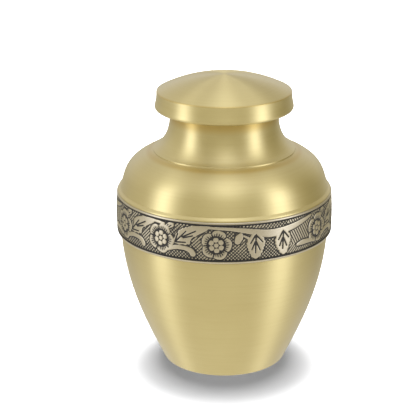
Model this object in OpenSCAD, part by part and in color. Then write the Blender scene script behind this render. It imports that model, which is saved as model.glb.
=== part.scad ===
// Cremation urn: a spun brass vessel, the engraved band set into its belly,
// and a domed lid that lifts off.
// Millimetres, +Z up. The origin is the centre of the plane that the urn stands on.

/* [Vessel] */
// Diameter at the ground, before the bottom edge is rounded
base_d = 100.2; // [84:0.2:120]
// Radius of the rounded bottom edge
base_edge_r = 3; // [0.5:0.1:4]
// Diameter of the belly, just under the band
belly_d = 169.1; // [140:0.1:204]
// Height of the side, from the ground to the band
side_h = 112; // [90:0.2:136]
// Outward lean of the side where it leaves the ground, in degrees
side_lean = 24.2; // [16:0.1:28]
// Outward lean of the side where it meets the band, in degrees
belly_lean = 3.4; // [0:0.1:8]
// Thickness of the spun wall
wall = 2; // [1.2:0.1:3]
// Thickness of the bottom
floor_t = 2.4; // [1.5:0.1:4]
// How far the middle of the bottom is pressed up off the ground
dish_h = 1.5; // [0.5:0.1:3]
// Width of the flat ring that the urn stands on
foot_w = 9; // [5:0.5:12]

/* [Band] */
// Height of the band
band_h = 33.7; // [28:0.1:41]
// How far the widest part of the band stands out from the belly
band_proud = 3.4; // [2.6:0.1:5]
// How far the footing that carries the band stands out from the belly
footing_proud = 1; // [0.8:0.1:1.6]
// Width of the footing's flat top
footing_w = 0.8; // [0.6:0.1:1.2]
// Height of the footing
footing_h = 1.2; // [0.8:0.1:2]
// Clearance round the inside of the band, and above it
band_gap = 0.15; // [0.05:0.05:0.3]
// Height above the band's lower edge where it is widest
crown_z = 12; // [8:0.5:18]
// Radius of the band's slightly barrelled face
crown_r = 330; // [200:5:500]
// Width of the plain rim along the band's upper edge
upper_rim_w = 1.4; // [1.2:0.1:2.5]
// Width of the plain rim along the band's lower edge
lower_rim_w = 2.2; // [2.1:0.1:3.5]
// Width of the border groove beside each rim
groove_w = 1.5; // [1:0.1:2]
// Depth of the border grooves
groove_depth = 0.5; // [0.3:0.05:0.8]
// Radius of the band's upper edge
upper_edge_r = 0.9; // [0.2:0.1:1]
// Radius of the band's lower edge
lower_edge_r = 1.9; // [0.5:0.1:2]

/* [Shoulder] */
// Height of the sloping ledge above the band
ledge_h = 2.75; // [1.8:0.05:4]
// How far the ledge stands out from the belly
ledge_proud = 1.95; // [1.2:0.05:2.4]
// Height of the ledge's upright edge
ledge_face_h = 1; // [0.8:0.1:1.2]
// Radius that rounds the ledge over
ledge_edge_r = 1.2; // [0.4:0.1:1.3]
// How far the foot of the shoulder lies inside the belly
shoulder_in = 0.35; // [0:0.05:2]
// Height of the shoulder, from the ledge to the lip of the neck
shoulder_h = 30.7; // [25:0.1:37]
// Inward lean of the shoulder at the ledge, in degrees
shoulder_lean = 15.8; // [8:0.2:20]
// Inward lean of the shoulder at the lip, in degrees
shoulder_top_lean = 66; // [56:0.5:70]

/* [Neck] */
// Diameter of the lip where the neck stands on the shoulder
lip_d = 115; // [104:0.2:128]
// Height of the lip's upright edge
lip_h = 0.9; // [0.8:0.1:1.6]
// Radius of the lip's edge
lip_edge_r = 0.6; // [0.2:0.1:0.7]
// Inward lean of the neck at the lip, in degrees
neck_lean = 67; // [54:1:70]
// Diameter of the neck at its narrowest
neck_d = 87.7; // [72:0.1:106]
// Height of the neck's hollow curve
neck_curve_h = 25.8; // [21:0.2:31]
// Height of the straight collar above the curve
collar_h = 8; // [6:0.1:14]
// Wall of the straight collar, which is bored true for the lid
collar_wall = 2.9; // [2.4:0.1:4]

/* [Lid] */
// How far the lid's rim overhangs the collar
lid_overhang = 11.85; // [9:0.05:15]
// Height of the lid's upright rim
rim_h = 14.5; // [12:0.1:18]
// How far the top of the rim is drawn in from its flared foot
rim_draw = 1.5; // [0.5:0.1:3]
// Width of the rim's foot, outside the sunk underside
rim_foot_w = 3.4; // [2.8:0.1:5]
// Rise of the dome above the rim
dome_h = 13.1; // [9:0.1:16]
// Radius of the edge between the rim and the dome
crease_r = 0.9; // [0.3:0.1:1.5]
// Radius of the rim's rolled lower edge
rim_edge_r = 2.2; // [0.8:0.1:2.6]
// Thickness of the lid's shell
lid_wall = 2; // [1.2:0.1:2.6]
// How far the underside is sunk above the rim's lower edge
underside_in = 1.2; // [0.5:0.1:3]
// Thickness of the underside plate, which rests on the collar
underside_t = 2.4; // [1.5:0.1:4]
// Length of the sleeve that drops into the collar
sleeve_h = 9; // [5:0.5:12]
// Wall of the sleeve
sleeve_wall = 2; // [1.2:0.1:3]
// Clearance between the sleeve and the bore, on the radius
sleeve_gap = 0.4; // [0.2:0.05:1]

/* [Hidden] */

brass = "darkkhaki";
pewter = "dimgray";

turn_steps = 180;   // sides of a full turn, where one has to be drawn
bow_steps = 24;     // straight runs in one free curve
edge_steps = 4;     // straight runs round one small edge
over = 1;           // how far a cutting outline runs past what it cuts

// How firmly each curve holds its direction at its lower and its upper end
side_pull = [0.2, 0.445];
shoulder_pull = [0.39, 0.6];
neck_pull = [0.3, 0.39];
rim_pull = [0.15, 0.62];

base_r = base_d / 2;
belly_r = belly_d / 2;
footing_r = belly_r + footing_proud;
seat_r = footing_r - footing_w;
band_r = belly_r + band_proud;
ledge_r = belly_r + ledge_proud;
shoulder_r = belly_r - shoulder_in;
lip_r = lip_d / 2;
neck_r = neck_d / 2;
bore_r = neck_r - collar_wall;
rim_r = neck_r + lid_overhang;
crease_in_r = rim_r - rim_draw;
dome_r = (crease_in_r * crease_in_r + dome_h * dome_h) / (2 * dome_h);
foot_r = base_r - base_edge_r * tan(45 - side_lean / 2);
dish_r = foot_r - foot_w;
dish_slope_w = 3 * dish_h;

// Heights above the ground, from the bottom up
floor_z = dish_h + floor_t;
belly_z = side_h - footing_h;
band_z = side_h;
band_top_z = band_z + band_h;
ledge_z = band_top_z + band_gap;
shoulder_z = ledge_z + ledge_h;
lip_z = shoulder_z + shoulder_h;
neck_z = lip_z + lip_h;
collar_z = neck_z + neck_curve_h;
seat_z = collar_z + collar_h;
rim_z = seat_z - underside_in;
crease_z = rim_z + rim_h;
top_z = crease_z + dome_h;

// A unit step that leans out from the vertical by an angle
function heading(lean) = [sin(lean), cos(lean)];

function unit(v) = v / norm(v);

// A free curve from p to q, which leaves p and reaches q at the given leans
function bow(p, q, lean_p, lean_q, pull) =
    let (reach = norm(q - p),
         a = p + pull[0] * reach * heading(lean_p),
         b = q - pull[1] * reach * heading(lean_q))
    [for (i = [0 : bow_steps])
        let (t = i / bow_steps, s = 1 - t)
        s * s * s * p + 3 * s * s * t * a + 3 * s * t * t * b + t * t * t * q];

// The same curve moved in by t, square to itself
function inset(curve, t) =
    [for (i = [0 : len(curve) - 1])
        let (before = curve[max(i - 1, 0)],
             after = curve[min(i + 1, len(curve) - 1)],
             along = unit(after - before))
        curve[i] + t * [-along[1], along[0]]];

// The arc of radius r that rounds the corner b between a and c
function rounded(a, b, c, r) =
    let (u = unit(a - b),
         v = unit(c - b),
         half = acos(u * v) / 2,
         centre = b + unit(u + v) * r / sin(half),
         from = b + u * r / tan(half) - centre,
         to = b + v * r / tan(half) - centre,
         sweep = 180 - 2 * half)
    [for (i = [0 : edge_steps])
        let (t = i / edge_steps)
        centre + (sin((1 - t) * sweep) * from + sin(t * sweep) * to) / sin(sweep)];

// The points of a list from its place a to its place b
function stretch(list, a, b) = [for (i = [a : b]) list[i]];

// The vessel's free curves, each from its lower end to its upper end
side = bow([base_r, 0], [belly_r, belly_z], side_lean, belly_lean, side_pull);
shoulder = bow([shoulder_r, shoulder_z], [lip_r, lip_z], -shoulder_lean, -shoulder_top_lean, shoulder_pull);
neck = bow([lip_r, neck_z], [neck_r, collar_z], -neck_lean, 0, neck_pull);
neck_lining = bow([lip_r, neck_z], [bore_r + wall, collar_z], -neck_lean, 0, neck_pull);
last = bow_steps;

// The dome: an arc from the rim's edge to the middle, on a sphere of the given radius
function dome_arc(sphere_r, edge_r) =
    let (centre_z = top_z - dome_r, spread = asin(edge_r / sphere_r))
    [for (i = [0 : bow_steps])
        let (a = spread * (1 - i / bow_steps))
        [sphere_r * sin(a), centre_z + sphere_r * cos(a)]];

// Radius of the band's barrelled face at a height above its lower edge
function face_r(z) = band_r - crown_r + sqrt(crown_r * crown_r - (z - crown_z) * (z - crown_z));

// A shallow round-bottomed groove in the band's face, centred at height z
function groove(z) =
    [for (i = [0 : 2 * edge_steps])
        let (a = 180 * i / (2 * edge_steps), h = z - cos(a) * groove_w / 2)
        [face_r(h) - groove_depth * sin(a), band_z + h]];

module vessel_outline() {
    polygon(concat(
        [[0, dish_h], [dish_r - dish_slope_w, dish_h], [dish_r, 0]],
        rounded([0, 0], [base_r, 0], side[1], base_edge_r),
        stretch(side, 1, last),
        [[footing_r, side_h - footing_h / 2], [footing_r, side_h]],
        [[seat_r, side_h], [seat_r, ledge_z]],
        [[ledge_r, ledge_z]],
        rounded([ledge_r, ledge_z], [ledge_r, ledge_z + ledge_face_h], [shoulder_r, shoulder_z], ledge_edge_r),
        shoulder,
        rounded([lip_r, lip_z], [lip_r, neck_z], neck[1], lip_edge_r),
        stretch(neck, 1, last),
        [[neck_r, seat_z], [0, seat_z]]));
}

module vessel_hollow() {
    intersection() {
        polygon(concat(
            [[0, 0]],
            inset(side, wall),
            inset(shoulder, wall),
            stretch(inset(neck_lining, wall), 0, last - 1),
            [[bore_r, collar_z], [bore_r, seat_z + over], [0, seat_z + over]]));
        translate([0, floor_z])
            square([belly_r, seat_z]);
    }
}

// Hollow brass vessel, open at the collar
module vessel() {
    color(brass)
        rotate_extrude($fn = turn_steps)
            difference() {
                vessel_outline();
                vessel_hollow();
            }
}

// Engraved ring, standing on the vessel's lower seat edge
module band() {
    bore = seat_r + band_gap;
    low = lower_rim_w + groove_w / 2;
    high = band_h - upper_rim_w - groove_w / 2;
    face_low = low + groove_w / 2;
    face_high = high - groove_w / 2;
    low_edge = [face_r(0), band_z];
    high_edge = [face_r(band_h), band_top_z];
    color(pewter)
        rotate_extrude($fn = turn_steps)
            polygon(concat(
                [[bore, band_z]],
                rounded([bore, band_z], low_edge, [face_r(low), band_z + low], lower_edge_r),
                groove(low),
                [for (i = [1 : bow_steps - 1])
                    let (h = face_low + (face_high - face_low) * i / bow_steps)
                    [face_r(h), band_z + h]],
                groove(high),
                rounded([face_r(high), band_z + high], high_edge, [bore, band_top_z], upper_edge_r),
                [[bore, band_top_z]]));
}

module lid_outline() {
    foot_in_r = rim_r - rim_foot_w;
    rim = bow([rim_r, rim_z + rim_edge_r], [crease_in_r, crease_z], 0, 0, rim_pull);
    dome = dome_arc(dome_r, crease_in_r);
    polygon(concat(
        [[0, seat_z], [foot_in_r, seat_z], [foot_in_r, rim_z]],
        rounded([0, rim_z], [rim_r, rim_z], rim[0], rim_edge_r),
        stretch(rim, 1, last - 2),
        rounded(rim[last - 2], rim[last], dome[1], crease_r),
        stretch(dome, 1, last)));
}

module lid_sleeve_outline() {
    sleeve_r = bore_r - sleeve_gap;
    translate([sleeve_r - sleeve_wall, seat_z - sleeve_h])
        square([sleeve_wall, sleeve_h + underside_t]);
}

module lid_hollow() {
    inner_r = crease_in_r - lid_wall;
    mouth_r = bore_r - sleeve_gap - sleeve_wall;
    plate_z = seat_z + underside_t;
    polygon(concat(
        [[0, seat_z - over], [mouth_r, seat_z - over], [mouth_r, plate_z], [inner_r, plate_z]],
        dome_arc(dome_r - lid_wall, inner_r)));
}

// Hollow lid: a domed shell, a plate that rests on the collar, and a sleeve inside it
module lid() {
    color(brass)
        rotate_extrude($fn = turn_steps)
            difference() {
                union() {
                    lid_outline();
                    lid_sleeve_outline();
                }
                lid_hollow();
            }
}

vessel();
band();
lid();
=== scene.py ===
import math

import bpy
import numpy as np
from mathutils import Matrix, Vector


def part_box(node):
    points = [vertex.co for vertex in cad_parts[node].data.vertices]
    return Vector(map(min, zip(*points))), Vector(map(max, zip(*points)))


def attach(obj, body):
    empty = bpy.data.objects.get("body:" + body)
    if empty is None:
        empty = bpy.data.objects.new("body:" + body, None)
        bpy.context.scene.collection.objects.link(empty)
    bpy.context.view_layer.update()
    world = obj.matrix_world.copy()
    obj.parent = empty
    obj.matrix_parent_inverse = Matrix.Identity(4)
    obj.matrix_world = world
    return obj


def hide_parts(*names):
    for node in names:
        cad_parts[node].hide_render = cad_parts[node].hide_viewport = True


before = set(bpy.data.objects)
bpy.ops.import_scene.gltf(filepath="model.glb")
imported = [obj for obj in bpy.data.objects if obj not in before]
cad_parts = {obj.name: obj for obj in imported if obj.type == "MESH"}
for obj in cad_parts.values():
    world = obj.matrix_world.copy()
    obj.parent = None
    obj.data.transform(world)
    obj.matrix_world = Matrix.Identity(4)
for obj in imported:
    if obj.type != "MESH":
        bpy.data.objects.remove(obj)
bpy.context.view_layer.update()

MM = 0.001
scene = bpy.context.scene

# The engraved band, in millimetres. u runs round the ring from the front, v up from its lower edge.
BAND_R = 88.0
TURN = 2 * math.pi * BAND_R
REPEATS = 3
PERIOD = TURN / REPEATS
PITCH = PERIOD / 4
FRONT = -6.1                  # where the third flower of a repeat lies
FIELD = (3.75, 31.0)          # the engraved field, between the border grooves
HATCH = TURN / 200            # width of one lozenge of the ground
GROUND_DEPTH = 0.42
CUT_DEPTH = 0.3
FLOWER_V = 15.9
DISC_R = 6.8
BORDERS = (2.95, 31.55)       # middle of each border groove
BORDER_HALF = 0.78
LINED_AT = 73.0               # middle of the gap where the ground has one family of cuts
LINED_HALF = 14.0             # half of its width
LOZENGE = 0.66                # width of a raised lozenge as a share of the hatch
LOZENGE_TOP = 0.10            # depth of its point below the face
COLUMNS = 320                 # in one repeat
ROW_STEP = 0.44
INSET = 0.001                 # keeps the relief within the CAD face

# The turned pieces.
STEPS = 192                   # sides of a full turn
SHARP = 32                    # degrees, past which a corner of the outline stays sharp

# The camera.
LENS = 128.9
SHIFT = -0.039
CAMERA_AT = (0, -1.1507, 0.5284)
CAMERA_DOWN = 19.2            # degrees below level


# ---------------------------------------------------------------- camera and stage

def aim(obj, target):
    obj.rotation_euler = (Vector(target) - obj.location).to_track_quat("-Z", "Y").to_euler()


def make_camera():
    data = bpy.data.cameras.new("camera")
    data.sensor_width = 36
    data.lens = LENS
    data.shift_x = SHIFT
    camera = bpy.data.objects.new("camera", data)
    camera.location = CAMERA_AT
    camera.rotation_euler = (math.radians(90 - CAMERA_DOWN), 0, 0)
    scene.collection.objects.link(camera)
    scene.camera = camera


# ---------------------------------------------------------------- shader helpers

class Graph:
    """A node tree written as sums: each call adds a node and returns its first output."""

    def __init__(self, tree):
        self.tree = tree
        tree.nodes.clear()

    def node(self, kind, **settings):
        n = self.tree.nodes.new(kind)
        for key, value in settings.items():
            setattr(n, key, value)
        return n

    def put(self, socket, value):
        if isinstance(value, bpy.types.NodeSocket):
            self.tree.links.new(value, socket)
        elif value is not None:
            socket.default_value = value

    def math(self, op, a, b=None):
        n = self.node("ShaderNodeMath", operation=op)
        self.put(n.inputs[0], a)
        self.put(n.inputs[1], b)
        return n.outputs[0]

    def add(self, a, b):
        return self.math("ADD", a, b)

    def sub(self, a, b):
        return self.math("SUBTRACT", a, b)

    def mul(self, a, b):
        return self.math("MULTIPLY", a, b)

    def top(self, a, b):
        return self.math("MAXIMUM", a, b)

    def step(self, value, low, high, to_low=0.0, to_high=1.0):
        """Rises smoothly from to_low to to_high as value goes from low to high."""
        n = self.node("ShaderNodeMapRange", interpolation_type="SMOOTHSTEP")
        for name, v in (("Value", value), ("From Min", low), ("From Max", high),
                        ("To Min", to_low), ("To Max", to_high)):
            self.put(n.inputs[name], v)
        return n.outputs[0]

    def noise(self, vector, scale, detail=2.0, roughness=0.5):
        n = self.node("ShaderNodeTexNoise")
        for name, v in (("Vector", vector), ("Scale", scale), ("Detail", detail), ("Roughness", roughness)):
            self.put(n.inputs[name], v)
        return n.outputs[0]

    def vector(self, x, y, z):
        n = self.node("ShaderNodeCombineXYZ")
        for i, v in enumerate((x, y, z)):
            self.put(n.inputs[i], v)
        return n.outputs[0]

    def mix(self, share, a, b):
        n = self.node("ShaderNodeMix", data_type="RGBA")
        self.put(n.inputs[0], share)
        self.put(n.inputs[6], a)
        self.put(n.inputs[7], b)
        return n.outputs[2]

    def bump(self, height, strength, distance):
        n = self.node("ShaderNodeBump")
        n.inputs["Strength"].default_value = strength
        n.inputs["Distance"].default_value = distance
        self.put(n.inputs["Height"], height)
        return n.outputs[0]

    def attribute(self, name):
        return self.node("ShaderNodeAttribute", attribute_name=name).outputs["Fac"]

    def round_axis(self):
        """Azimuth from the front, radius and height, in radians and metres."""
        where = self.node("ShaderNodeTexCoord").outputs["Object"]
        parts = self.node("ShaderNodeSeparateXYZ")
        self.put(parts.inputs[0], where)
        x, y, z = parts.outputs
        azimuth = self.math("ARCTAN2", x, self.mul(y, -1.0))
        radius = self.math("SQRT", self.add(self.mul(x, x), self.mul(y, y)))
        return azimuth, radius, z, where


def material(name):
    m = bpy.data.materials.new(name)
    m.use_nodes = True
    return m, Graph(m.node_tree)


def surface(g, color, metallic, roughness, normal, **sockets):
    """The Principled surface, linked to the output."""
    n = g.node("ShaderNodeBsdfPrincipled")
    for key, value in (("Base Color", color), ("Metallic", metallic), ("Roughness", roughness),
                       ("Normal", normal)):
        g.put(n.inputs[key], value)
    for key, value in sockets.items():
        g.put(n.inputs[key.replace("_", " ")], value)
    out = g.node("ShaderNodeOutputMaterial")
    g.tree.links.new(n.outputs[0], out.inputs["Surface"])


BRASS = (0.590, 0.488, 0.208, 1)
BRASS_DEEP = (0.50, 0.39, 0.145, 1)
BRASS_PAINTED_SHADE = (0.50, 0.345, 0.080, 1)      # painted shade, laid under the lid and along the creases
PEWTER = (0.50, 0.435, 0.295, 1)
PEWTER_DULL = (0.36, 0.31, 0.20, 1)
PEWTER_WORN = (0.24, 0.20, 0.13, 1)
PATINA = (0.016, 0.013, 0.007, 1)

# Heights above the floor and radii, in metres, of the place under the lid where shade is painted onto the
# brass.
NECK_TOP, LID_FOOT = (0.2005, 0.2085), (0.2130, 0.2140)
NECK_RADIUS = (0.048, 0.051)
CREASE_SHADE_LINES = ((0.1779, 0.0019, 0.60), (0.2273, 0.0009, 0.55))      # height, reach and strength of each line of painted shade along a crease


def brushed(g, azimuth, radius, height, scale):
    """Fine lines that run round the axis, as the lathe and the brush leave them."""
    along = g.vector(g.mul(azimuth, 1.2), g.mul(radius, scale), g.mul(height, scale))
    return g.noise(along, 1.0, 3.0, 0.6)


def brass_material():
    m, g = material("satin_brass")
    azimuth, radius, height, where = g.round_axis()
    fine = brushed(g, azimuth, radius, height, 3200.0)
    coarse = brushed(g, azimuth, radius, height, 520.0)
    cloudy = g.noise(where, 22.0, 3.0)
    tarnish = g.step(cloudy, 0.35, 0.75)
    color = g.mix(g.mul(tarnish, 0.22), BRASS, BRASS_DEEP)
    color = g.mix(g.mul(g.step(coarse, 0.4, 0.7), 0.16), color, BRASS_DEEP)
    # Painted shade: the top of the neck under the lid is darkened where the lid's shadow falls.
    under_lid_shade = g.mul(g.step(height, *NECK_TOP), g.step(height, *LID_FOOT, 1.0, 0.0))
    under_lid_shade = g.mul(under_lid_shade, g.step(radius, *NECK_RADIUS, 1.0, 0.0))
    color = g.mix(g.mul(under_lid_shade, 0.85), color, BRASS_PAINTED_SHADE)
    # Painted shade along the crease at the neck's lip and at the dome's edge.
    for crease_height, reach, strength in CREASE_SHADE_LINES:
        off = g.math("ABSOLUTE", g.sub(height, crease_height))
        color = g.mix(g.step(off, 0.0, reach, strength, 0.0), color, BRASS_PAINTED_SHADE)
    roughness = g.add(g.mul(fine, 0.08), g.add(g.mul(cloudy, 0.04), 0.31))
    normal = g.bump(g.add(fine, g.mul(coarse, 0.5)), 0.08, 0.0002)
    tangent = g.node("ShaderNodeTangent", direction_type="RADIAL", axis="Z").outputs[0]
    surface(g, color, 1.0, roughness, normal, Anisotropic=0.95, Anisotropic_Rotation=0.25, Tangent=tangent,
            Coat_Weight=0.45, Coat_Roughness=0.30)
    return m


def pewter_material():
    m, g = material("antiqued_pewter")
    azimuth, radius, height, where = g.round_axis()
    u = g.mul(azimuth, BAND_R)
    v = g.mul(g.sub(height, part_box("band")[0].z), 1000.0)
    plate = g.attribute("plate")
    cut = g.attribute("cut")
    border = g.attribute("border")
    # The crosshatched ground: two families of slanting cuts with a bright lozenge between them.
    wobble = g.mul(g.sub(g.noise(where, 160.0, 1.0), 0.5), 0.35)
    lozenge = None
    faint = g.step(g.noise(where, 38.0, 1.0), 0.42, 0.60, 0.0, 0.45)
    for slope, lift in ((1.0, faint), (-1.0, 0.0)):
        phase = g.math("DIVIDE", g.add(g.add(u, g.mul(v, slope)), wobble), HATCH)
        ridge = g.add(g.mul(g.math("PINGPONG", phase, 0.5), 2.0), lift)
        lozenge = ridge if lozenge is None else g.math("MINIMUM", lozenge, ridge)
    # Where the ground has one family alone, the cuts are steeper and closer.
    slant = g.math("DIVIDE", g.add(g.add(u, g.mul(v, 0.55)), wobble), HATCH * 0.88)
    slant = g.mul(g.math("PINGPONG", slant, 0.5), 2.0)
    lined = g.attribute("lined")
    lozenge = g.add(g.mul(lozenge, g.sub(1.0, lined)), g.mul(slant, lined))
    bright = g.step(lozenge, 0.34, 0.56)
    ground = g.step(plate, 0.10, -0.10)
    rim_of_ground = g.step(plate, -1.45, -0.80)
    dark_ground = g.sub(1.0, g.mul(bright, g.sub(0.92, g.mul(rim_of_ground, 0.85))))
    dark = g.mul(ground, dark_ground)
    dark = g.top(dark, g.step(cut, -0.20, 0.08))
    # Hatching that fans out over the petals from the flower's disc.
    ray = g.attribute("ray")
    x, y = g.attribute("petal_x"), g.attribute("petal_y")
    spin = g.math("ARCTAN2", y, x)
    fan = g.math("SINE", g.add(g.mul(spin, 30.0), g.mul(wobble, 6.0)))
    dark = g.top(dark, g.mul(g.step(fan, -0.6, 0.5, 0.22, 1.0), ray))
    dark = g.top(dark, g.step(border, -0.15, 0.15))
    cloudy = g.noise(where, 55.0, 3.0)
    scratches = g.vector(g.mul(azimuth, 60.0), g.mul(radius, 2000.0), g.mul(height, 1100.0))
    worn = g.noise(scratches, 1.0, 4.0, 0.65)
    color = g.mix(g.step(cloudy, 0.3, 0.8, 0.0, 0.35), PEWTER, PEWTER_DULL)
    color = g.mix(g.step(worn, 0.45, 0.75, 0.0, 0.25), color, PEWTER_WORN)
    color = g.mix(dark, color, PATINA)
    roughness = g.add(g.mul(dark, 0.28), g.add(g.mul(worn, 0.15), 0.22))
    metallic = g.sub(1.0, g.mul(dark, 0.75))
    rise = g.sub(g.mul(g.sub(worn, 0.5), 0.12), dark)
    normal = g.bump(rise, 0.35, 0.00025)
    surface(g, color, metallic, roughness, normal)
    return m


# ---------------------------------------------------------------- turned pieces

def cad_outline(node):
    """A CAD node's mesh, and the radius and height of each of its points, in metres."""
    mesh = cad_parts[node].data
    co = np.empty(len(mesh.vertices) * 3)
    mesh.vertices.foreach_get("co", co)
    co = co.reshape(-1, 3)
    return mesh, np.stack([np.hypot(co[:, 0], co[:, 1]), co[:, 2]], 1)


def outline_of(node):
    """The outline (radius, height) in metres that a CAD node was turned from, in order from axis to axis."""
    mesh, rz = cad_outline(node)
    keys, which = np.unique(np.round(rz, 5), axis=0, return_inverse=True)
    which = which.ravel()
    same = np.hypot(*(keys[:, None] - keys[None]).transpose(2, 0, 1)) < 1.5e-5
    which = same.argmax(1)[which]
    edges = np.empty(len(mesh.edges) * 2, np.int32)
    mesh.edges.foreach_get("vertices", edges)
    near = {}
    for a, b in which[edges.reshape(-1, 2)]:
        if a != b:
            near.setdefault(a, set()).add(b)
            near.setdefault(b, set()).add(a)
    ends = [k for k in near if len(near[k]) == 1]
    here, before, order = min(ends, key=lambda k: keys[k][1]), None, []
    while here is not None:
        order.append(here)
        following = [k for k in near[here] if k != before]
        here, before = (following[0] if following else None), here
    line = [tuple(keys[k]) for k in order]
    if line[0][0] > 1e-5:
        line.insert(0, (0.0, line[0][1]))
    if line[-1][0] > 1e-5:
        line.append((0.0, line[-1][1]))
    return np.array(line)


def turned(name, line, steps, sharp):
    """A closed solid turned from an outline that starts and ends on the axis, smooth but for its corners."""
    d = np.diff(line, axis=0)
    length = np.hypot(d[:, 0], d[:, 1])
    area = np.sum(line[:-1, 0] * line[1:, 1] - line[1:, 0] * line[:-1, 1])
    side = np.stack([d[:, 1], -d[:, 0]], 1) / length[:, None] * (1 if area > 0 else -1)
    start, end = side.copy(), side.copy()
    for i in range(len(side) - 1):
        if side[i] @ side[i + 1] > math.cos(math.radians(sharp)):
            both = side[i] * length[i] + side[i + 1] * length[i + 1]
            end[i] = start[i + 1] = both / np.hypot(*both)
    start[0] = (0, math.copysign(1, side[0][1])) if line[0][0] == 0 else start[0]
    end[-1] = (0, math.copysign(1, side[-1][1])) if line[-1][0] == 0 else end[-1]
    turn = np.arange(steps) * 2 * math.pi / steps
    spin = np.stack([np.sin(turn), -np.cos(turn)], 1)
    rows, verts = [], []
    for r, z in line:
        if r < 1e-6:
            rows.append([len(verts)] * steps)
            verts.append((0, 0, z))
        else:
            rows.append(list(range(len(verts), len(verts) + steps)))
            verts.extend((r * s[0], r * s[1], z) for s in spin)
    faces, normals = [], []

    def corner(n, k):
        return (n[0] * spin[k][0], n[0] * spin[k][1], n[1])

    for i in range(len(side)):
        for k in range(steps):
            k2 = (k + 1) % steps
            ring = [(rows[i][k], start[i], k), (rows[i][k2], start[i], k2),
                    (rows[i + 1][k2], end[i], k2), (rows[i + 1][k], end[i], k)]
            if area < 0:
                ring.reverse()
            seen, face = set(), []
            for vert, n, at in ring:
                if vert not in seen:
                    seen.add(vert)
                    face.append(vert)
                    normals.append(corner(n, at))
            faces.append(face)
    mesh = bpy.data.meshes.new(name)
    mesh.from_pydata(verts, [], faces)
    mesh.normals_split_custom_set(normals)
    obj = bpy.data.objects.new(name, mesh)
    scene.collection.objects.link(obj)
    return obj


# ---------------------------------------------------------------- the engraving

def spline(points, closed, per=8):
    """A smooth line through the points."""
    p = np.array(points, float)
    n = len(p)
    out = []
    for i in range(n if closed else n - 1):
        a, b, c, d = ((p[(i + k) % n] if closed else p[min(max(i + k, 0), n - 1)]) for k in (-1, 0, 1, 2))
        for t in np.arange(per) / per:
            curve, twist = 2 * a - 5 * b + 4 * c - d, 3 * b - a - 3 * c + d
            out.append(0.5 * (2 * b + (c - a) * t + curve * t * t + twist * t ** 3))
    if not closed:
        out.append(p[-1])
    return np.array(out)


class Engraving:
    """Signed distances, positive inside, over one repeat of the pattern."""

    def __init__(self, s, v):
        self.s, self.v = s, v
        self.plate = np.full(s.shape, -9.0)
        self.cut = np.full(s.shape, -9.0)
        self.ray = np.zeros(s.shape)
        self.petal = np.full(s.shape + (2,), 30.0)
        self.cup = np.zeros(s.shape)

    def places(self, s0):
        """The pattern's points seen from s0, in the repeat where they lie nearest."""
        return (self.s - s0 + PERIOD / 2) % PERIOD - PERIOD / 2

    def stroke(self, points, widths):
        """How far inside a tapering line each point lies."""
        p = np.array(points, float)
        w = np.interp(np.linspace(0, 1, len(p)), np.linspace(0, 1, len(widths)), widths)
        x, best = self.places(p[0][0]), np.full(self.s.shape, -9.0)
        for (a, b), (wa, wb) in zip(zip(p, p[1:]), zip(w, w[1:])):
            ax, bx = a[0] - p[0][0], b[0] - p[0][0]
            dx, dy = bx - ax, b[1] - a[1]
            t = np.clip(((x - ax) * dx + (self.v - a[1]) * dy) / (dx * dx + dy * dy), 0, 1)
            far = np.hypot(x - ax - t * dx, self.v - a[1] - t * dy)
            best = np.maximum(best, wa + (wb - wa) * t - far)
        return best

    def leaf(self, outline, veins):
        line = spline(outline, True)
        x, y = self.places(line[0][0]), self.v
        far, inside = np.full(x.shape, 99.0), np.zeros(x.shape, bool)
        px, py = line[:, 0] - line[0][0], line[:, 1]
        for i in range(len(line)):
            ax, ay, bx, by = px[i - 1], py[i - 1], px[i], py[i]
            dx, dy = bx - ax, by - ay
            t = np.clip(((x - ax) * dx + (y - ay) * dy) / (dx * dx + dy * dy), 0, 1)
            far = np.minimum(far, np.hypot(x - ax - t * dx, y - ay - t * dy))
            crosses = (ay > y) != (by > y)
            with np.errstate(divide="ignore", invalid="ignore"):
                inside ^= crosses & (x < ax + (y - ay) / (by - ay) * dx)
        teeth = 0.75 * np.abs(np.sin(8 * np.arctan2(y - py.mean(), x - px.mean())))
        self.plate = np.maximum(self.plate, np.where(inside, far, -far) - teeth)
        for a, b in veins:
            self.cut = np.maximum(self.cut, self.stroke([a, b], (0.62, 1.02, 0.50)))

    def ribbon(self, points, widths):
        self.plate = np.maximum(self.plate, self.stroke(spline(points, False, 6), widths))

    def flower(self, s0, v0, tilt):
        x, y = self.places(s0), self.v - v0
        far, angle = np.hypot(x, y), np.arctan2(y, x) - tilt
        lobe = np.abs(np.cos(2.5 * angle))
        edge = 9.3 + 2.7 * lobe ** 0.6 + 0.15 * np.sin(9 * angle)
        near = far < 16
        self.plate = np.where(near, np.maximum(self.plate, edge - far), self.plate)
        cut = 0.72 - np.abs(far - DISC_R)                                         # ring round the disc
        notch = 0.55 - far * lobe / 2.5
        cut = np.maximum(cut, np.minimum(notch, np.minimum(far - DISC_R, edge - far)))
        bead = 1.75 - far
        for k in range(6):
            a = tilt + math.radians(30 + 60 * k)
            bead = np.maximum(bead, 2.05 - np.hypot(x - 4.35 * math.cos(a), y - 4.35 * math.sin(a)))
        cut = np.maximum(cut, np.minimum(-bead, DISC_R - far))
        self.cut = np.where(near, np.maximum(np.minimum(self.cut, far - 12.5), cut), self.cut)
        fade = np.clip((edge - far - 1.3) / 1.5, 0, 1) * np.clip((far - DISC_R) / 0.5, 0, 1)
        self.ray = np.where(near, np.maximum(self.ray, fade), self.ray)
        self.cup = np.where(near, self.cup + 0.2 * np.exp(-((far - 8.1) / 1.1) ** 2) - 0.05, self.cup)
        nearer = far < np.hypot(self.petal[..., 0], self.petal[..., 1])
        self.petal[nearer] = np.stack([x, y], -1)[nearer]


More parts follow.
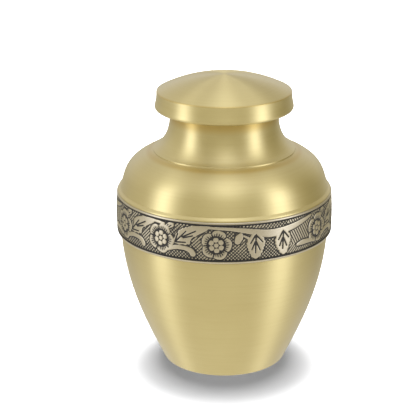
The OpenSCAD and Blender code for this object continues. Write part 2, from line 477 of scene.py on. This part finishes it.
def draw(e):
    """Lays the flowers, leaves and stems of one repeat into the field."""
    for k in (1, 2):
        s = -PITCH * (2 - k)
        lift = 1.2 if k == 1 else 0.0
        e.leaf([(s - 34.9, 15.2), (s - 31.6, 24), (s - 24.9, 28.9), (s - 13.9, 30.7), (s - 6.4, 28.6),
                (s - 12.9, 23.6), (s - 19.0, 20), (s - 20.6, 15.4), (s - 26.9, 14.1)],
               [((s - 33.2, 15.8), (s - 23.9, 25.6)), ((s - 33.0, 16.4), (s - 30.6, 23.2)),
                ((s - 26.9, 20.8), (s - 16.0, 26.5)), ((s - 26.0, 20.2), (s - 18.4, 22.5)),
                ((s - 32.4, 16.0), (s - 24.2, 16.6))])
        e.ribbon([(s - 19, 29.4), (s - 8, 29.9), (s + 3, 29.3 - lift / 3)], (1.2, 1.1, 1.0))
        e.ribbon([(s - 40.5, 8.6), (s - 33, 11.6), (s - 25.5, 11.9), (s - 20.4, 10.4), (s - 18.4, 7.9)],
                 (1.1, 1.7, 1.6, 2.1, 2.3))
        e.ribbon([(s - 42.2, 25.6), (s - 36.6, 29.4)], (1.3, 2.4))
        for a, b in (((s - 42, 25.2), (s - 39.2, 29)), ((s - 40.4, 25.8), (s - 36.4, 28.6))):
            e.cut = np.maximum(e.cut, e.stroke([a, b], (0.5, 0.75, 0.42)))
    # The long vine, its buds and the two hanging leaves that fill the wide gap.
    e.ribbon([(2, 29.3), (11, 28.8), (22, 27.2), (32, 25.1), (41, 23.3), (49, 23.2), (57, 24.2), (66, 25.6),
              (76, 27.7), (84, 29.6)],
             (1.0, 1.2, 1.8, 2.4, 3.0, 3.0, 2.5, 2.2, 1.6, 0.7))
    e.ribbon([(19.0, 24.6), (17.6, 21.6), (16.4, 18.9)], (1.0, 2.9, 2.3))
    e.ribbon([(21.0, 23.2), (25.0, 20.9)], (0.5, 0.9))
    for s, bend in ((30.7, 0.0), (53.9, 0.8)):
        e.leaf([(s - 7.6, 17), (s - 5, 22.2), (s, 25.5), (s + 5.2, 22.2), (s + 8.0, 17), (s + 6.3, 10.6),
                (s + 3.4 + bend, 5.2), (s + bend, 3.4), (s - 3.2 + bend, 5.2), (s - 6.2, 10.8)],
               [((s + 0.3, 23.4), (s - 0.1, 16.6)), ((s - 0.6, 22.6), (s - 4.2, 16.8)),
                ((s + 1.2, 22.2), (s + 5.4, 17.2)), ((s - 0.6, 17.6), (s - 3.2, 11.6)),
                ((s + 0.4, 17.6), (s + 3.4, 10.8)), ((s - 0.1, 15.4), (s - 0.3, 8.8))])
    e.ribbon([(68, 8.9), (74, 9.6), (82, 9.0), (87, 7.6)], (1.0, 2.1, 1.7, 0.8))
    e.cut = np.maximum(e.cut, e.stroke([(72, 7.4), (80, 6.9)], (0.2, 0.45, 0.2)))
    for k in range(3):
        e.flower(PITCH * (k - 2), FLOWER_V + (0.7, 0.9, 0.0)[k], math.radians((8, -6, 4)[k]))


def smooth(value, low, high):
    t = np.clip((value - low) / (high - low), 0, 1)
    return t * t * (3 - 2 * t)


def in_one_direction(e):
    """Where the ground is cut with slanting lines alone: in the gap before the third flower."""
    return smooth(LINED_HALF - np.abs(e.places(LINED_AT)), -1.2, 1.2) * smooth(e.v, 9.0, 11.5)


def band_face(low):
    """The CAD ring's bore, and its outer face (radius, height above low) from the bottom up, in mm."""
    rz = cad_outline("band")[1]
    rz[:, 1] -= low
    rz = np.unique(np.round(rz / MM, 2), axis=0)
    bore = rz[:, 0].min()
    face = rz[rz[:, 0] > bore + 0.3]
    return bore, face[np.lexsort((face[:, 0], face[:, 1]))]


def rows_over(face):
    """Radius and height of each row of the relief: the face's corners, and close rows across the field."""
    lower = face[face[:, 1] < FIELD[0]]
    upper = face[face[:, 1] > FIELD[1]]
    close = np.linspace(*FIELD, round((FIELD[1] - FIELD[0]) / ROW_STEP))
    v = np.concatenate([lower[:, 1], close, upper[:, 1]])
    middle = np.interp(close, face[:, 1], face[:, 0])
    radius = np.concatenate([lower[:, 0], middle, upper[:, 0]]) - INSET
    keep = np.concatenate([[True], np.hypot(np.diff(v), np.diff(radius)) > 0.02])
    return radius[keep], v[keep]


def engraved(s, v):
    """The pattern of one repeat with its edges at the field's, and how deep each point of it is cut."""
    e = Engraving(s, v)
    draw(e)
    inside = np.minimum(v - FIELD[0], FIELD[1] - v)
    e.plate = np.where(inside < 0, 1.0, np.minimum(e.plate, inside - 0.1))
    e.cut = np.where(inside < 0, -1.0, e.cut)
    e.ray = np.where(inside < 0.4, 0.0, e.ray)
    depth = GROUND_DEPTH * smooth(-e.plate, -0.15, 0.3)
    depth = np.maximum(depth, CUT_DEPTH * smooth(e.cut, -0.2, 0.3))
    depth = np.maximum(depth, np.where(e.plate > 0, e.cup, 0))
    depth[inside < 0] = 0
    return e, depth


def lozenges(face, low):
    """Low pyramids between the slanting cuts, wherever the ground is clear of a motif.

    Returns their points, their triangles and the plate's value at each point.
    """
    half = HATCH / 2
    points = []
    for i in range(round(TURN / half)):
        for j in range(int(FIELD[0] / half), int(FIELD[1] / half) + 1):
            if (i + j) % 2:
                points.append((i * half, j * half))
    points = np.array(points)
    points = points[(points[:, 1] > FIELD[0] + 0.5) & (points[:, 1] < FIELD[1] - 0.5)]
    e = Engraving(points[:, 0] - FRONT, points[:, 1])
    draw(e)
    clear = (e.plate < -0.45) & (in_one_direction(e) < 0.3)
    points, near = points[clear], e.plate[clear]
    n = len(points)
    corners = [points + np.array(d) * half * LOZENGE for d in ((1, 0), (0, 1), (-1, 0), (0, -1))]
    spots = np.concatenate(corners + [points])
    depth = np.repeat([GROUND_DEPTH + 0.02, LOZENGE_TOP], [4 * n, n])
    radius = (np.interp(spots[:, 1], face[:, 1], face[:, 0]) - depth) * MM
    angle = spots[:, 0] / BAND_R
    tips = np.stack([radius * np.sin(angle), -radius * np.cos(angle), low + spots[:, 1] * MM], 1)
    base = np.arange(n)
    sides = [np.stack([base + k * n, base + (k + 1) % 4 * n, base + 4 * n], 1) for k in range(4)]
    return tips, np.concatenate(sides), np.tile(near, 5)


def band_mesh():
    """The ring with its engraved face: a relief over the CAD face, and the ground's lozenges in it."""
    low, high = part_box("band")
    bore, face = band_face(low.z)
    radius, v = rows_over(face)
    total = COLUMNS * REPEATS
    u = np.arange(total) * TURN / total
    e, depth = engraved(*np.meshgrid(u[:COLUMNS] - FRONT, v, indexing="ij"))

    turn = u / BAND_R
    spin = np.stack([np.sin(turn), -np.cos(turn)], 1)
    r = (radius[None] - np.tile(depth, (REPEATS, 1))) * MM
    outer = np.stack([r * spin[:, :1], r * spin[:, 1:], np.broadcast_to(low.z + v * MM, r.shape)], -1)
    back = [np.concatenate([bore * MM * spin, np.full((total, 1), z)], 1) for z in (high.z, low.z)]
    grid = np.concatenate([outer, np.stack(back, 1)], 1)
    index = np.arange(grid.shape[0] * grid.shape[1]).reshape(grid.shape[:2])
    beside = np.roll(index, -1, 0)
    above, beside_above = np.roll(index, -1, 1), np.roll(beside, -1, 1)
    quads = np.stack([index, beside, beside_above, above], -1).transpose(1, 0, 2).reshape(-1, 4)
    tips, tris, near = lozenges(face, low.z)
    mesh = bpy.data.meshes.new("band_engraved")
    verts = np.concatenate([grid.reshape(-1, 3), tips])
    mesh.from_pydata(verts.tolist(), [], quads.tolist() + (index.size + tris).tolist())
    mesh.shade_smooth()

    # Each field, with its value on the plain faces and on the lozenges.
    border = BORDER_HALF - np.minimum(np.abs(e.v - BORDERS[0]), np.abs(e.v - BORDERS[1]))
    fields = (("plate", e.plate, 1.0, near), ("cut", e.cut, -1.0, -1.0), ("ray", e.ray, 0.0, 0.0),
              ("border", border, -1.0, -1.0), ("lined", in_one_direction(e), 0.0, 0.0),
              ("petal_x", e.petal[..., 0], 30.0, 30.0), ("petal_y", e.petal[..., 1], 30.0, 30.0))
    for name, values, plain, tip in fields:
        wide = np.concatenate([np.tile(values, (REPEATS, 1)), np.full((total, 2), plain)], 1).ravel()
        data = np.concatenate([wide, np.full(len(tips), tip)])
        mesh.attributes.new(name, "FLOAT", "POINT").data.foreach_set("value", data.astype(np.float32))
    mesh.set_sharp_from_angle(angle=math.radians(50))
    obj = bpy.data.objects.new("band_engraved", mesh)
    scene.collection.objects.link(obj)
    return obj


# ---------------------------------------------------------------- light and floor

ROOM_DIM = (1.0, 0.94, 0.70, 1)
ROOM_BRIGHT = (1.0, 0.99, 0.985, 1)
BOXES = (0.86, 0.93, 1.22, 1)
# Each tall strip light: its side, azimuth and half-width in degrees, strength and spill above.
STRIPS = ((-1, 72, 12.5, 2.55, 0.30), (1, 65.5, 14.5, 2.65, 0.05))
# Each light: name, kind, width in metres or angle in radians, power, and place along y and z.
LIGHTS = (("key", "AREA", 3.2, 280, 0.75, 3.2), ("fill", "AREA", 5.0, 11.5, 1.6, 2.3),
          ("far", "SUN", math.radians(24), 2.6, 0.7, 3.2))


def make_world():
    """A soft studio: pale all round, a tall strip light on each side of the camera and a wide one above."""
    world = bpy.data.worlds.new("studio")
    scene.world = world
    world.use_nodes = True
    g = Graph(world.node_tree)
    parts = g.node("ShaderNodeSeparateXYZ")
    g.put(parts.inputs[0], g.node("ShaderNodeTexCoord").outputs["Generated"])
    x, y, z = parts.outputs
    azimuth = g.math("ARCTAN2", x, g.mul(y, -1.0))
    up = g.math("ARCSINE", z)

    def bell(value, centre, width):
        q = g.math("DIVIDE", g.sub(value, centre), width)
        return g.math("EXPONENT", g.mul(g.mul(q, q), -1.0))

    def steps(value, low, high, first, last):
        return g.step(value, math.radians(low), math.radians(high), first, last)

    away = g.math("ABSOLUTE", azimuth)
    beyond = steps(away, 95, 135, 0.0, 1.0)
    below = g.add(steps(up, -50, -25, 1.19, 0.92), steps(up, -20, 0, 0.0, -0.22))
    front = g.add(below, steps(up, 5, 45, 0.0, 0.14))
    sky = g.add(steps(up, -12, 10, 0.58, 0.83), steps(up, -40, -15, 0.46, 0.0))
    level = g.add(g.mul(front, g.sub(1.0, beyond)), g.mul(sky, beyond))
    dim = g.mul(bell(azimuth, math.radians(116), math.radians(27)),
                bell(up, math.radians(8), math.radians(38)))
    level = g.sub(level, g.mul(dim, 0.27))
    tall = g.mul(bell(up, math.radians(12), math.radians(36)), steps(up, -62, -44, 0.4, 1.0))
    strips = None
    for side, centre, width, power, spill in STRIPS:
        strip = g.mul(bell(azimuth, side * math.radians(centre), math.radians(width)), tall)
        broad = g.mul(bell(azimuth, side * math.radians(105), math.radians(38)),
                      bell(up, math.radians(42), math.radians(38)))
        lit = g.add(g.mul(strip, power), g.mul(broad, spill))
        strips = lit if strips is None else g.add(strips, lit)
    overhead = g.mul(bell(x, 0.04, 0.29), steps(up, 30, 55, 0.0, 1.0))
    strips = g.add(strips, g.mul(overhead, g.step(y, -0.1, 0.4, 1.45, 0.50)))
    room = g.node("ShaderNodeBackground")
    g.put(room.inputs["Color"], g.mix(g.step(level, 0.50, 0.92), ROOM_DIM, ROOM_BRIGHT))
    g.put(room.inputs["Strength"], level)
    boxes = g.node("ShaderNodeBackground")
    boxes.inputs["Color"].default_value = BOXES
    g.put(boxes.inputs["Strength"], strips)
    back = g.node("ShaderNodeAddShader")
    g.put(back.inputs[0], room.outputs[0])
    g.put(back.inputs[1], boxes.outputs[0])
    out = g.node("ShaderNodeOutputWorld")
    g.tree.links.new(back.outputs[0], out.inputs["Surface"])
    world.cycles_visibility.diffuse = False


def make_lights():
    """Soft lights for the floor: the metal mirrors none of them, only the studio round it."""
    for name, kind, size, power, y, z in LIGHTS:
        data = bpy.data.lights.new(name, kind)
        if kind == "AREA":
            data.shape = "DISK"
            data.size = size
        else:
            data.angle = size
        data.energy = power
        light = bpy.data.objects.new(name, data)
        light.location = (0, y, z)
        aim(light, (0, 0, 0))
        light.visible_glossy = False
        light.visible_camera = False
        scene.collection.objects.link(light)


def make_floor():
    size, cells = 30.0, 24
    axis = np.linspace(-size, size, cells + 1)
    verts = [(a, b, 0.0) for a in axis for b in axis]
    row = cells + 1
    faces = [(i * row + j, (i + 1) * row + j, (i + 1) * row + j + 1, i * row + j + 1)
             for i in range(cells) for j in range(cells)]
    mesh = bpy.data.meshes.new("floor")
    mesh.from_pydata(verts, [], faces)
    floor = bpy.data.objects.new("floor", mesh)
    scene.collection.objects.link(floor)
    m, g = material("pale_floor")
    where = g.node("ShaderNodeTexCoord").outputs["Object"]
    shade = g.mix(g.mul(g.noise(where, 9.0), 0.04), (0.93, 0.93, 0.93, 1), (0.88, 0.88, 0.88, 1))
    surface(g, shade, 0.0, 0.9, g.bump(g.noise(where, 700.0), 0.02, 0.0002))
    mesh.materials.append(m)
    floor.visible_glossy = False


# ---------------------------------------------------------------- the scene

make_camera()
make_world()
make_lights()
make_floor()

brass = brass_material()
pewter = pewter_material()
for node in ("vessel", "lid"):
    piece = turned(node + "_spun", outline_of(node), STEPS, SHARP)
    piece.data.materials.append(brass)
    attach(piece, "root")
    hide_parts(node)
    piece.visible_diffuse = False
ring = band_mesh()
ring.data.materials.append(pewter)
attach(ring, "root")
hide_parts("band")

scene.view_settings.view_transform = "Standard"
scene.view_settings.look = "None"
scene.view_settings.exposure = 0.0
